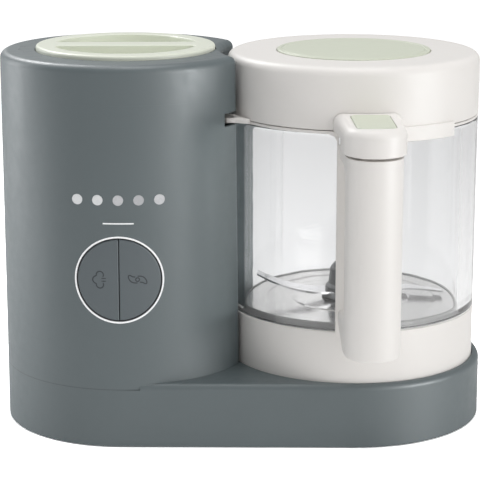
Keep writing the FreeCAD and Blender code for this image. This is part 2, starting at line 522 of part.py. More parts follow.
grip = u_plan(GRIP_HW, -80, HANDLE_FRONT, 71.8, 207.3)
grip = rounded(grip, lambda e: e.BoundBox.ZMax < 71.81 and e.BoundBox.YMin < -90, 2.2)
gap = Part.Face(Part.Wire([e for e in wire2([(0, 93.0), (0, 189.0), (42.5, 189.0, 12), (42.5, 93.0, 11)]).Edges]))
gap = gap.extrude(V(0, 80, 0))
gap.translate(V(0, -40, 0))
gap.rotate(V(0, 0, 0), V(0, 0, 1), -90)
gap.translate(V(0, -70, 0))
grip = grip.cut(gap)
grip = rounded(grip, lambda e: 92.5 < e.BoundBox.ZMin and e.BoundBox.ZMax < 189.5 and -113 < e.CenterOfMass.y < -84 and abs(abs(e.CenterOfMass.x) - GRIP_HW) < 0.01, 3.0)
grip = cut(grip, cyl(0, 0, 60, 230, 86.3), slot, box(-40, 40, -160, -111.4, 198.5, 220))
rise = Part.Face(wire2([(70, 60), (70, 84.0), (88, 84.0, 6), (112, 72.5), (112, 60)])).extrude(V(0, 80, 0))
rise.translate(V(0, -40, 0))
rise.rotate(V(0, 0, 0), V(0, 0, 1), -90)
grip = grip.cut(rise)
STEM_Y, BTN_B, BTN_F = -107.0, -88.6, -127.5
grip = grip.cut(box(-9.1, 9.1, -128.1, -113.9, 192, 205))
put("handle_grip", at_jar(grip, HAZ))

HEAD_FRONT = HANDLE_FRONT + 0.845


def flare_plan(hw, hwb, y_back, front, z0, z1):
    """like u_plan, but wider towards the back"""
    yc = -(front - hw)
    e = [Part.makeLine(V(-hwb, y_back, 0), V(hwb, y_back, 0)), Part.makeLine(V(hwb, y_back, 0), V(hw, yc, 0)),
         Part.Arc(V(hw, yc, 0), V(0, yc - hw, 0), V(-hw, yc, 0)).toShape(), Part.makeLine(V(-hw, yc, 0), V(-hwb, y_back, 0))]
    return ext_wire(Part.Wire(e), z0, z1)


head = flare_plan(HEAD_HW, HEAD_BACK_HW, -80, HEAD_FRONT, 200.2, 219.0)
slope = Part.Face(wire2([(70, 219.4), (150, 216.6), (150, 240), (70, 240)])).extrude(V(0, 80, 0))
slope.translate(V(0, -40, 0))
slope.rotate(V(0, 0, 0), V(0, 0, 1), -90)
head = head.cut(slope)
head = rounded(head, lambda e: e.BoundBox.ZMin > 210 and e.Length > 15 and e.BoundBox.YMin < -84, 6.0)
head = rounded(head, lambda e: e.BoundBox.ZMax < 200.21 and e.BoundBox.YMin < -90, 0.8)
head = cut(head, box(-40, 40, -112.2, -60, 198, 208.0), cyl(0, 0, 190, 240, R_LID + 0.6), slot)


def pad_box(hw, yb, yf, z0, z1, r):
    return ext([(-hw, yf, r), (hw, yf, r), (hw, yb, r), (-hw, yb, r)], z0, z1)


head = head.cut(pad_box(12.6, BTN_B + 0.3, BTN_F - 0.3, 212.6, 230, 4.0))
head = head.cut(cyl(0, STEM_Y, 200, 220, 3.15)).cut(cyl(0, STEM_Y, 209.6, 220, 6.2))
head = fuse(head, box(-9, 9, -128.0, -114.0, 193.0, 203.5))
put("handle_head", at_jar(head, HAZ))
btn = pad_box(12.3, BTN_B, BTN_F, 215.6, 230, 3.7)
sl2 = Part.Face(wire2([(70, 219.9), (150, 217.1), (150, 240), (70, 240)])).extrude(V(0, 80, 0))
sl2.translate(V(0, -40, 0))
sl2.rotate(V(0, 0, 0), V(0, 0, 1), -90)
btn = btn.cut(sl2)
btn = rounded(btn, lambda e: e.BoundBox.ZMin > 216.6, 0.8)
btn = btn.cut(cyl(0, 0, 190, 240, R_LID + 0.6))
btn = fuse(btn, cyl(0, STEM_Y, 210.3, 216.0, 2.9))
put("release_button", at_jar(btn, HAZ))
spr = rev([(3.3, 209.7), (5.9, 209.7), (5.9, 210.6, 0.3), (4.5, 211.6), (5.3, 213.0, 0.4), (4.3, 214.2), (5.0, 215.0), (5.0, 215.5), (3.4, 215.5), (3.4, 214.0), (4.3, 213.0), (3.4, 211.6)], 0, STEM_Y)
put("button_spring", at_jar(spr, HAZ))

# ------------------------------------------------------------------ interlock tongue
PX, PY = -22.0, -27.5


def jpt(a, r):
    return V(XJ - r * math.sin(math.radians(a)), -r * math.cos(math.radians(a)), 0)


p0, p1, p2 = jpt(56.4, 83.95), jpt(63, 83.95), jpt(69.5, 83.95)
q = [p2, V(-12.5, -25.5, 0), V(-19.5, -22.8, 0), V(-26.0, -25.0, 0), V(-26.3, -31.5, 0), V(-18.6, -38.0, 0), V(-12.2, -43.6, 0), jpt(61.0, 90.5), jpt(57.4, 86.6), jpt(56.2, 85.2), p0]
es = [Part.Arc(p0, p1, p2).toShape()] + [Part.makeLine(q[i], q[i + 1]) for i in range(len(q) - 1)]
lev = Part.Face(Part.Wire(es)).extrude(V(0, 0, 3.2))
lev.translate(V(0, 0, 206.2))
lev = rounded(lev, lambda e: e.BoundBox.ZLength < 0.01 and e.BoundBox.XMin > -14 and e.Length > 3, 0.6)
lev = lev.cut(cyl(PX, PY, 200, 215, 2.05))
put("interlock_tongue", lev)
pin = rev([(0, 201.5), (2.0, 201.5), (2.0, 211.5, 0.4), (0, 211.5)], PX, PY)
lb = ext([(-28, -21.5), (-17.2, -21.5), (-17.2, -44), (-19, -52.5), (-28, -58)], 201.0, 203.6)
lb = lb.common(cyl(XC, 0, 195, 210, 79.75)).cut(cyl(XC, 0, 195, 210, 54.4))
put("lever_mount", fuse(lb, pin))
put("interlock_switch", fuse(box(-32.5, -26.9, -49, -38, 203.7, 211.5), box(-26.9, -26.2, -44.4, -42.4, 206.5, 208.9)))

# ------------------------------------------------------------------ electronics
put("main_board", at_col(box(-34, 34, 52, 53.6, 52, 128)))
bp = [box(-28, -8, 33.9, 51.9, 58, 84), box(4, 14, 36, 51.9, 60, 82), box(18, 30, 40, 51.9, 62, 80), cyl_y(-18, 104, 36, 51.9, 6), cyl_y(0, 104, 40, 51.9, 5), box(12, 30, 44, 51.9, 96, 120)]
put("board_parts", at_col(Part.makeCompound([b.cut(cyl(0, 0, 40, 140, 33.2)) for b in bp])))

# ------------------------------------------------------------------ export
for name, shape in PARTS.items():
    s = shape.copy()
    s.translate(V(0, YA, 0))
    s.exportStep("parts/%s.step" % name)
bb = None
for s in PARTS.values():
    b = s.optimalBoundingBox(False)
    bb = b if bb is None else bb.united(b)
print(len(PARTS), "nodes; box", [round(v, 3) for v in (bb.XMin, bb.XMax, bb.YMin + YA, bb.YMax + YA, bb.ZMin, bb.ZMax)])
for n, s in PARTS.items():
    print("%-18s solids %d valid %s vol %.1f" % (n, len(s.Solids), s.isValid(), s.Volume))
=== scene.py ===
import bpy
import json
import math
from mathutils import Vector, Matrix

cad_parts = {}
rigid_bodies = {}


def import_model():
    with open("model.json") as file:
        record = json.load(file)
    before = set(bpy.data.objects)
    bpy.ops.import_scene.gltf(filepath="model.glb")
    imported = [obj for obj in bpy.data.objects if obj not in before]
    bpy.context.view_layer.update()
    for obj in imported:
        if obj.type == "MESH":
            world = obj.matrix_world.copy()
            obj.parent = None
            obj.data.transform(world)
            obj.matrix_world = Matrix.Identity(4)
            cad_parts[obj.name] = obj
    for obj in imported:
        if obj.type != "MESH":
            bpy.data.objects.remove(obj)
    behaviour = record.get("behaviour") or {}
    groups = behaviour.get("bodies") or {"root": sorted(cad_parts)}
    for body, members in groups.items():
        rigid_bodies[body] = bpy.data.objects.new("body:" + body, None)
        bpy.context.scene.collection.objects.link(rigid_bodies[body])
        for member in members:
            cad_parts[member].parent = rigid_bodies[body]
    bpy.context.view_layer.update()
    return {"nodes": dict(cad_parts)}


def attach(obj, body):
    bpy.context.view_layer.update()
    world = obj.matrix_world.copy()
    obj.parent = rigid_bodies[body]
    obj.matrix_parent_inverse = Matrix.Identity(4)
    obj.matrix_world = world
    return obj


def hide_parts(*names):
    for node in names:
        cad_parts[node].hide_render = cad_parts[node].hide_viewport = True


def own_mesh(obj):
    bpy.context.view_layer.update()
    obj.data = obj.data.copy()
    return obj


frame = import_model()
NODES = frame["nodes"]

# ------------------------------------------------------------------ places shared with the model (metres)
YA = 0.024487
XC, RC = -0.078, 0.0825
XJ = 0.0727
CAZ = math.radians(-2.4)
Z_CTRL = 0.1122


def mm(*v):
    return tuple(a * 0.001 for a in v)


def on_column(u, z, r):
    """point on the front of the column: u across, z up, r from the column axis (metres)"""
    t = math.asin(max(-1.0, min(1.0, u / r)))
    x, y = r * math.sin(t), -r * math.cos(t)
    c, s = math.cos(CAZ), math.sin(CAZ)
    return Vector((XC + x * c - y * s, YA + x * s + y * c, z))


def column_normal(u, r):
    t = math.asin(max(-1.0, min(1.0, u / r)))
    x, y = math.sin(t), -math.cos(t)
    c, s = math.cos(CAZ), math.sin(CAZ)
    return Vector((x * c - y * s, x * s + y * c, 0))


def on_jar(az, r, z):
    """point round the jar axis, azimuth in degrees from the front towards +X (metres)"""
    a = math.radians(az)
    return Vector((XJ + r * math.sin(a), YA - r * math.cos(a), z))


# ------------------------------------------------------------------ shader helpers
class Mat:
    def __init__(self, name):
        self.m = bpy.data.materials.new(name)
        self.m.use_nodes = True
        self.t = self.m.node_tree
        self.t.nodes.clear()
        self.out = self.t.nodes.new("ShaderNodeOutputMaterial")
        self.b = self.t.nodes.new("ShaderNodeBsdfPrincipled")
        self.t.links.new(self.b.outputs[0], self.out.inputs[0])
        self._c = None

    def node(self, kind, **kw):
        n = self.t.nodes.new(kind)
        for k, v in kw.items():
            setattr(n, k, v)
        return n

    def link(self, a, b):
        self.t.links.new(a, b)

    def co(self):
        if self._c is None:
            self._c = self.node("ShaderNodeTexCoord").outputs["Object"]
        return self._c

    def mapped(self, scale=(1, 1, 1), loc=(0, 0, 0), rot=(0, 0, 0)):
        n = self.node("ShaderNodeMapping")
        n.inputs["Location"].default_value = loc
        n.inputs["Rotation"].default_value = rot
        n.inputs["Scale"].default_value = scale
        self.link(self.co(), n.inputs["Vector"])
        return n.outputs[0]

    def noise(self, scale, detail=2.0, rough=0.5, vec=None, distortion=0.0):
        n = self.node("ShaderNodeTexNoise")
        n.inputs["Scale"].default_value = scale
        n.inputs["Detail"].default_value = detail
        n.inputs["Roughness"].default_value = rough
        n.inputs["Distortion"].default_value = distortion
        self.link(vec if vec is not None else self.co(), n.inputs["Vector"])
        return n.outputs[0]

    def wave(self, scale, direction="Z", vec=None, distortion=0.0, kind="BANDS"):
        n = self.node("ShaderNodeTexWave", wave_type=kind)
        if kind == "BANDS":
            n.bands_direction = direction
        n.inputs["Scale"].default_value = scale
        n.inputs["Distortion"].default_value = distortion
        self.link(vec if vec is not None else self.co(), n.inputs["Vector"])
        return n.outputs[1]

    def ramp(self, fac, stops, constant=False):
        n = self.node("ShaderNodeValToRGB")
        r = n.color_ramp
        if constant:
            r.interpolation = "CONSTANT"
        while len(r.elements) < len(stops):
            r.elements.new(0.5)
        for e, (p, c) in zip(r.elements, stops):
            e.position = p
            e.color = (*c, 1.0)
        self.link(fac, n.inputs[0])
        return n.outputs[0]

    def span(self, fac, lo, hi, a=0.3, b=0.7):
        n = self.node("ShaderNodeMapRange")
        n.inputs[1].default_value = a
        n.inputs[2].default_value = b
        n.inputs[3].default_value = lo
        n.inputs[4].default_value = hi
        self.link(fac, n.inputs[0])
        return n.outputs[0]

    def math(self, op, a, b=None, clamp=False):
        n = self.node("ShaderNodeMath", operation=op)
        n.use_clamp = clamp
        for i, v in enumerate((a, b)):
            if v is None:
                continue
            if isinstance(v, (int, float)):
                n.inputs[i].default_value = v
            else:
                self.link(v, n.inputs[i])
        return n.outputs[0]

    def mult(self, a, b, fac=1.0):
        n = self.node("ShaderNodeMix", data_type="RGBA", blend_type="MULTIPLY")
        n.inputs[0].default_value = fac
        self.link(a, n.inputs[6])
        self.link(b, n.inputs[7])
        return n.outputs[2]

    def bump(self, height, strength, dist, normal=None):
        n = self.node("ShaderNodeBump")
        n.inputs["Strength"].default_value = strength
        n.inputs["Distance"].default_value = dist
        self.link(height, n.inputs["Height"])
        if normal is not None:
            self.link(normal, n.inputs["Normal"])
        return n.outputs[0]

    def xyz(self):
        n = self.node("ShaderNodeSeparateXYZ")
        self.link(self.co(), n.inputs[0])
        return n.outputs

    def radius(self, x0, y0):
        x, y, _ = self.xyz()
        dx, dy = self.math("SUBTRACT", x, x0), self.math("SUBTRACT", y, y0)
        s = self.math("ADD", self.math("MULTIPLY", dx, dx), self.math("MULTIPLY", dy, dy))
        return self.math("SQRT", s)

    def vec1(self, value):
        n = self.node("ShaderNodeCombineXYZ")
        self.link(value, n.inputs[0])
        return n.outputs[0]

    def set(self, **kw):
        for k, v in kw.items():
            self.b.inputs[k.replace("_", " ")].default_value = v
        return self

    def colour(self, sock):
        self.link(sock, self.b.inputs["Base Color"])
        return self

    def rough(self, sock):
        self.link(sock, self.b.inputs["Roughness"])
        return self

    def normal(self, sock):
        self.link(sock, self.b.inputs["Normal"])
        return self


def shade(c, k):
    return tuple(max(0.0, min(1.0, a * k)) for a in c)


def plastic(name, c, rough, drift=0.025, grain=2400.0, grain_h=0.05, spread=0.04, speck=0.985, spec=0.5):
    """moulded plastic: slow tone drift, fine spark-eroded grain, uneven gloss"""
    m = Mat(name)
    tone = m.ramp(m.noise(11.0, 3.0), [(0.3, shade(c, 1 - drift)), (0.7, shade(c, 1 + drift))])
    fleck = m.ramp(m.noise(1500.0, 1.0), [(0.35, (speck,) * 3), (0.65, (1, 1, 1))])
    m.colour(m.mult(tone, fleck))
    m.rough(m.span(m.noise(170.0, 2.0), rough - spread, rough + spread))
    m.normal(m.bump(m.noise(grain, 1.0), grain_h, 0.0002))
    m.set(IOR=1.5, Specular_IOR_Level=spec)
    return m


def metal(name, c, rough, stretch=(1, 1, 1), scale=500.0, spread=0.08, grain_h=0.06, drift=0.06):
    """metal with a drawn or cast grain; stretch sets the direction of the grain"""
    m = Mat(name)
    v = m.mapped(scale=stretch)
    n = m.noise(scale, 4.0, 0.6, v)
    m.colour(m.ramp(n, [(0.25, shade(c, 1 - drift)), (0.75, shade(c, 1 + drift))]))
    m.rough(m.span(n, rough - spread, rough + spread))
    m.normal(m.bump(n, grain_h, 0.0002))
    m.set(Metallic=1.0)
    return m


def turned(name, c, rough, x0, y0, scale=900.0, spread=0.07, grain_h=0.10, swirl=0.0):
    """metal finished in rings about a vertical axis"""
    m = Mat(name)
    r = m.radius(x0, y0)
    n = m.noise(scale, 3.0, 0.6, m.vec1(r))
    broad = m.noise(140.0, 2.0, 0.5, m.vec1(r))
    both = m.math("ADD", m.math("MULTIPLY", n, 0.5), m.math("MULTIPLY", broad, 0.5))
    m.colour(m.ramp(both, [(0.3, shade(c, 0.93)), (0.7, shade(c, 1.05))]))
    m.rough(m.span(both, rough - spread, rough + spread))
    m.normal(m.bump(both, grain_h, 0.0004))
    m.set(Metallic=1.0)
    return m


# ------------------------------------------------------------------ finishes by material slot
FIN = {}
BODY_GREY = (0.107, 0.134, 0.142)
FIN["body_grey"] = plastic("fin_body_grey", BODY_GREY, 0.48, drift=0.03, grain_h=0.07, spec=0.75).m
FIN["cap_green"] = plastic("fin_cap_green", (0.775, 0.807, 0.697), 0.42, drift=0.015, speck=0.992).m
FIN["white_plastic"] = plastic("fin_white_plastic", (0.848, 0.824, 0.798), 0.47, drift=0.010, speck=0.994, spec=0.36).m
FIN["pad_green"] = plastic("fin_pad_green", (0.655, 0.690, 0.575), 0.48, drift=0.015, speck=0.990).m
FIN["hub_dark"] = plastic("fin_hub_dark", (0.070, 0.075, 0.078), 0.42, drift=0.04).m
FIN["rubber_dark"] = plastic("fin_rubber", (0.030, 0.030, 0.031), 0.72, drift=0.08, grain=1600, grain_h=0.14).m
FIN["silicone"] = plastic("fin_silicone", (0.640, 0.640, 0.620), 0.52, drift=0.03, grain_h=0.05).m
FIN["inner_plastic"] = plastic("fin_inner_plastic", (0.620, 0.610, 0.580), 0.50, drift=0.03).m
FIN["part_dark"] = plastic("fin_part_dark", (0.045, 0.047, 0.050), 0.45, drift=0.06).m
FIN["blade_steel"] = metal("fin_blade_steel", (0.66, 0.66, 0.67), 0.22, stretch=(1, 14, 14), scale=160.0, spread=0.06).m
FIN["tank_steel"] = metal("fin_tank_steel", (0.70, 0.70, 0.70), 0.30, stretch=(1, 1, 12), scale=140.0).m
FIN["heater_alloy"] = turned("fin_heater_alloy", (0.72, 0.72, 0.73), 0.42, XC, YA).m
FIN["zinc_steel"] = metal("fin_zinc_steel", (0.60, 0.61, 0.62), 0.34, scale=90.0, drift=0.10).m
FIN["bearing_bronze"] = metal("fin_bearing_bronze", (0.56, 0.36, 0.17), 0.36, scale=420.0, drift=0.10).m

# floor of the jar: polished steel with soft turned rings
f = turned("fin_floor_steel", (0.55, 0.545, 0.54), 0.16, XJ, YA, scale=420.0, spread=0.08, grain_h=0.30)
FIN["floor_steel"] = f.m

# laminated iron: fine stacked sheets
i = Mat("fin_motor_iron")
lam = i.wave(620.0, "Z", distortion=0.4)
i.colour(i.ramp(lam, [(0.2, (0.20, 0.20, 0.205)), (0.8, (0.34, 0.34, 0.345))]))
i.rough(i.span(i.noise(260.0), 0.38, 0.54))
i.normal(i.bump(lam, 0.25, 0.0003))
i.set(Metallic=1.0)
FIN["motor_iron"] = i.m

# circuit board: solder mask with tracks and pads
p = Mat("fin_board_green")
br = p.node("ShaderNodeTexBrick", offset=0.5)
br.inputs["Scale"].default_value = 190.0
br.inputs["Mortar Size"].default_value = 0.05
br.inputs["Color1"].default_value = (0.018, 0.105, 0.040, 1)
br.inputs["Color2"].default_value = (0.022, 0.125, 0.048, 1)
br.inputs["Mortar"].default_value = (0.040, 0.190, 0.075, 1)
p.link(p.mapped(rot=(math.pi / 2, 0, 0)), br.inputs["Vector"])
p.colour(p.mult(br.outputs["Color"], p.ramp(p.noise(60.0), [(0.3, (0.85,) * 3), (0.7, (1, 1, 1))])))
p.rough(p.span(p.noise(300.0), 0.26, 0.40))
p.normal(p.bump(br.outputs["Fac"], 0.2, 0.0002))
FIN["board_green"] = p.m

# lit white parts: milky plastic with a little light of its own; each round light has its own level
w = Mat("fin_light_white")
xs = w.xyz()
lev = w.ramp(w.math("MULTIPLY", w.math("ADD", xs[0], 0.078 + 0.0035 + 0.040), 12.5, clamp=True),
             [(0.0, (0.62, 0.63, 0.64)), (0.42, (0.46, 0.465, 0.48)), (0.58, (0.40, 0.405, 0.42)), (0.74, (0.50, 0.505, 0.52))], constant=True)
zz = w.math("GREATER_THAN", xs[2], 0.157)
mixc = w.node("ShaderNodeMix", data_type="RGBA")
w.link(zz, mixc.inputs[0])
white = w.ramp(w.noise(300.0), [(0.3, (0.84, 0.85, 0.86)), (0.7, (0.90, 0.91, 0.92))])
w.link(white, mixc.inputs[6])
w.link(lev, mixc.inputs[7])
w.colour(mixc.outputs[2])
w.link(mixc.outputs[2], w.b.inputs["Emission Color"])
w.set(Emission_Strength=0.22)
w.rough(w.span(w.noise(240.0), 0.22, 0.32))
FIN["light_white"] = w.m

# glass: clear, faintly wavy, lets lamp light through to the floor of the jar
g = Mat("fin_clear_glass")
g.set(Base_Color=(0.976, 0.978, 0.982, 1), Transmission_Weight=1.0, IOR=1.5, Roughness=0.0)
g.normal(g.bump(g.noise(38.0, 2.0), 0.05, 0.0012))
lp = g.node("ShaderNodeLightPath")
tr = g.node("ShaderNodeBsdfTransparent")
tr.inputs[0].default_value = (0.93, 0.945, 0.94, 1)
ms = g.node("ShaderNodeMixShader")
g.link(lp.outputs["Is Shadow Ray"], ms.inputs[0])
g.link(g.b.outputs[0], ms.inputs[1])
g.link(tr.outputs[0], ms.inputs[2])
g.link(ms.outputs[0], g.out.inputs[0])
FIN["clear_glass"] = g.m

for n, o in NODES.items():
    slot = o.data.materials[0].name.split(".")[0] if o.data.materials and o.data.materials[0] else "inner_plastic"
    fin = FIN.get(slot, FIN["inner_plastic"])
    o.data.materials.clear()
    o.data.materials.append(fin)

# ------------------------------------------------------------------ added pieces
ink = plastic("fin_mark_dark", (0.036, 0.044, 0.050), 0.55, drift=0.03).m
mark_grey = plastic("fin_mark_grey", (0.105, 0.118, 0.124), 0.52, drift=0.03).m


def piece(name, verts, faces, mat, body, smooth=True):
    me = bpy.data.meshes.new(name)
    me.from_pydata([tuple(v) for v in verts], [], faces)
    me.validate()
    me.update()
    for q in me.polygons:
        q.use_smooth = smooth
    me.materials.append(mat)
    ob = bpy.data.objects.new(name, me)
    bpy.context.scene.collection.objects.link(ob)
    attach(ob, body)
    return ob


def stroke(path, hw, place, low=-0.00012, high=0.00006, closed=False, n=5):
    """a raised line with a rounded section along (u, v) points; place(u, v, h) gives the point at height h"""
    verts, faces = [], []
    k = len(path)
    ring = n + 2
    for idx in range(k):
        p = Vector(path[idx])
        a = Vector(path[(idx - 1) % k]) if (closed or idx > 0) else p
        b = Vector(path[(idx + 1) % k]) if (closed or idx < k - 1) else p
        d = (b - a)
        d = d.normalized() if d.length > 1e-12 else Vector((1, 0))
        s = Vector((-d.y, d.x))
        w = hw
        if not closed and idx in (0, k - 1):
            w = hw * 0.45
        row = [(p + s * w, low)]
        for j in range(n):
            t = math.pi * j / (n - 1)
            row.append((p + s * (w * math.cos(t)), high * math.sin(t)))
        row.append((p - s * w, low))
        for q, h in row:
            verts.append(place(q.x, q.y, h))
    last = k if closed else k - 1
    for idx in range(last):
        o, e = idx * ring, ((idx + 1) % k) * ring
        for j in range(ring):
            faces.append((o + j, o + (j + 1) % ring, e + (j + 1) % ring, e + j))
    if not closed:
        faces.append(tuple(range(ring)))
        faces.append(tuple(reversed(range((k - 1) * ring, k * ring))))
    return verts, faces


def strokes(name, paths, hw, place, mat, body, slot, **kw):
    vs, fs = [], []
    for path, closed in paths:
        v, q = stroke(path, hw, place, closed=closed, **kw)
        fs += [tuple(a + len(vs) for a in t) for t in q]
        vs += v
    return piece(name, vs, fs, mat, body)


def arc(cx, cy, r, a0, a1, n=14, ry=None):
    ry = r if ry is None else ry
    return [mm(cx + r * math.cos(math.radians(a0 + (a1 - a0) * i / n)), cy + ry * math.sin(math.radians(a0 + (a1 - a0) * i / n))) for i in range(n + 1)]


def curve(pts, n=10):
    """smooth line through points (mm), Catmull-Rom"""
    q = [pts[0]] + list(pts) + [pts[-1]]
    out = []
    for i in range(1, len(q) - 2):
        for j in range(n):
            t = j / n
            a, b, c, d = q[i - 1], q[i], q[i + 1], q[i + 2]
            out.append(mm(*[0.5 * (2 * b[k] + (c[k] - a[k]) * t + (2 * a[k] - 5 * b[k] + 4 * c[k] - d[k]) * t * t + (3 * b[k] - a[k] - 3 * c[k] + d[k]) * t ** 3) for k in (0, 1)]))
    out.append(mm(*pts[-1]))
    return out


R_KEY = RC - 0.00005


def on_key(u, v, h):
    return on_column(u, Z_CTRL + v, R_KEY) + column_normal(u, R_KEY) * h


# steam sign: a puff with two short jets; blade sign: two leaves about a ring
puff = [(arc(-12.2, 3.3, 2.3, -35, 190) + arc(-14.5, 0.1, 2.35, 118, 242) + arc(-12.2, -3.1, 2.3, 170, 395), False),
        ([mm(-11.4, 1.0), mm(-9.8, 1.0), mm(-8.2, 1.0)], False), ([mm(-11.4, -0.8), mm(-9.8, -0.8), mm(-8.2, -0.8)], False)]
strokes("steam_sign", puff, 0.00040, on_key, ink, "steam_key", "body_grey")
leaf = [(arc(11.8, 0.3, 1.2, 0, 345, 20), True),
        (curve([(10.4, 2.0), (8.6, 2.3), (7.2, 3.1), (6.1, 2.9), (6.2, 1.2), (7.6, -0.9), (9.6, -1.8), (11.8, -1.9)]), False),
        (curve([(13.2, -1.4), (15.0, -1.7), (16.4, -2.5), (17.5, -2.3), (17.4, -0.6), (16.0, 1.5), (14.0, 2.4), (11.8, 2.5)]), False)]
strokes("blade_sign", leaf, 0.00038, on_key, ink, "blend_key", "body_grey")


def on_top(z):
    def place(u, v, h):
        return Vector((XC + u, YA + v, z + h))
    return place


# glass jar: round inside and out, five soft ribs with rounded tops on the inner wall, thick foot
def fillet(p0, p1, p2, r, n=5):
    """rounded corner at p1 between p0 and p2 (r, z in mm)"""
    a, b = Vector(p0) - Vector(p1), Vector(p2) - Vector(p1)
    a.normalize()
    b.normalize()
    th = a.angle(b)
    t = r / math.tan(th / 2)
    c = Vector(p1) + (a + b).normalized() * (r / math.sin(th / 2))
    s0, s1 = Vector(p1) + a * t, Vector(p1) + b * t
    u, v = s0 - c, s1 - c
    ang = u.angle(v)
    out = []
    for i in range(n + 1):
        f = i / n
        q = (u * math.sin((1 - f) * ang) + v * math.sin(f * ang)) / math.sin(ang)
        out.append(tuple(c + q))
    return out


def lathe_profile(pts):
    """closed outline from (r, z, corner) points in mm"""
    out = []
    n = len(pts)
    for i in range(n):
        p = pts[i]
        if p[2] > 0:
            out += fillet(pts[i - 1][:2], p[:2], pts[(i + 1) % n][:2], p[2])
        else:
            out.append(tuple(p[:2]))
    return out


def refine(pts, step):
    out = []
    n = len(pts)
    for i in range(n):
        a, b = Vector(pts[i]), Vector(pts[(i + 1) % n])
        k = max(1, int(math.ceil((b - a).length / step)))
        for j in range(k):
            out.append(tuple(a + (b - a) * (j / k)))
    return out


# azimuth from the front, height and half width of each rib
RIBS = ((100.0, 0.5, 7.0), (140.0, 1.8, 2.8), (180.0, 1.0, 3.2), (220.0, 2.3, 2.6), (260.0, 0.6, 6.0))
R_IN, RIB_TOP = 72.6, 190.0


def rib(az, z):
    d, h, w0 = min((abs((az - c + 180.0) % 360.0 - 180.0), h, w) for c, h, w in RIBS)
    d = math.radians(d) * R_IN
    t = (RIB_TOP - z) / 6.0
    if t <= 0:
        return 0.0
    e = 1.0 if t >= 1 else math.sqrt(1 - (1 - t) ** 2)
    w = w0 * max(e, 0.05)
    if d >= w:
        return 0.0
    k = min(1.0, max(0.0, (z - 85.0) / 30.0))
    return h * e * k * (0.5 + 0.5 * math.cos(math.pi * d / w))


prof = refine(lathe_profile([(R_IN, 76.85, 0.5), (83.0, 76.85, 1.4), (83.0, 205.5, 0.8), (79.4, 205.5, 0.6), (79.4, 216.0, 1.2), (76.4, 216.0, 1.2), (76.4, 207.5, 0.8),
                             (R_IN, 204.5, 1.5)]), 2.5)
NA = 720
gv, gf = [], []
for (r, z) in prof:
    inner = r < 73.5 and z > 83.0
    for k in range(NA):
        az = 360.0 * k / NA
        rr = r - (rib(az, z) if inner else 0.0)
        gv.append(on_jar(az, rr * 0.001, z * 0.001))
npf = len(prof)
for i in range(npf):
    for k in range(NA):
        a, b = i * NA + k, i * NA + (k + 1) % NA
        c, d = ((i + 1) % npf) * NA + (k + 1) % NA, ((i + 1) % npf) * NA + k
        gf.append((a, b, c, d))
jar_glass = piece("jar_glass", gv, gf, FIN["clear_glass"], "jar")
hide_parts("glass_jar")
seal_grey = plastic("fin_seal_grey", (0.31, 0.31, 0.31), 0.55, drift=0.05, grain=1600, grain_h=0.10).m
NODES["floor_seal"].data.materials.clear()
NODES["floor_seal"].data.materials.append(seal_grey)

# bellows under the release pad
HAZ = math.radians(2.0)
SX, SY = XJ + 0.107 * math.sin(HAZ), YA - 0.107 * math.cos(HAZ)
bp = refine(lathe_profile([(3.3, 209.7, 0), (5.9, 209.7, 0), (5.9, 210.6, 0.3), (4.5, 211.6, 0), (5.3, 213.0, 0.4), (4.3, 214.2, 0), (5.0, 215.0, 0), (5.0, 215.45, 0),
                           (3.4, 215.45, 0), (3.4, 214.0, 0), (4.3, 213.0, 0), (3.4, 211.6, 0)]), 0.4)
NB = 64
bv, bf = [], []
for (r, z) in bp:
    for k in range(NB):
        a = 2 * math.pi * k / NB
        bv.append((SX + r * 0.001 * math.cos(a), SY + r * 0.001 * math.sin(a), z * 0.001))
for i in range(len(bp)):
    j = (i + 1) % len(bp)
    for k in range(NB):
        bf.append((i * NB + k, i * NB + (k + 1) % NB, j * NB + (k + 1) % NB, j * NB + k))
bellows = piece("pad_bellows", bv, bf, FIN["silicone"], "jar")
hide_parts("button_spring")
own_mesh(bellows)

# painted shade: the column's colour darkens a little in the seam at its foot, standing in for the shadow in that seam
cg = plastic("fin_column_grey", BODY_GREY, 0.48, drift=0.03, grain_h=0.07, spec=0.75)
sep = cg.node("ShaderNodeSeparateXYZ")
cg.link(cg.co(), sep.inputs[0])
seam_shade_ramp = cg.node("ShaderNodeMapRange")
seam_shade_ramp.inputs["From Min"].default_value = 0.0388
seam_shade_ramp.inputs["From Max"].default_value = 0.0397
cg.link(sep.outputs[2], seam_shade_ramp.inputs["Value"])
# painted shade: base colour darkened to 55 % over the lowest millimetre of the column, where the seam's shadow falls
painted_seam_shade = cg.mult(cg.b.inputs["Base Color"].links[0].from_socket, cg.ramp(seam_shade_ramp.outputs[0], [(0.0, (0.55, 0.55, 0.55)), (1.0, (1, 1, 1))]))
cg.link(painted_seam_shade, cg.b.inputs["Base Color"])
NODES["column_shell"].data.materials.clear()
NODES["column_shell"].data.materials.append(cg.m)

# keys: the same grey, a little cooler and smoother than the body
key_grey = plastic("fin_key_grey", (0.100, 0.122, 0.133), 0.44, drift=0.02, grain_h=0.05, spec=0.7).m
for n in ("steam_button", "blend_button"):
    NODES[n].data.materials.clear()
    NODES[n].data.materials.append(key_grey)

# open and shut marks beside the tank cap
marks = [(arc(-68.5, 9.0, 1.7, 0, 345, 18), True), (curve([(-69.6, 4.0), (-70.2, -1.0), (-69.9, -6.0)], 8), False),
         (curve([(-71.2, -3.6), (-69.9, -6.2), (-68.2, -4.2)], 6), False), (arc(-67.0, -13.0, 1.0, 0, 345, 14), True)]
strokes("cap_marks", marks, 0.00030, on_top(0.249), mark_grey, "base", "body_grey")

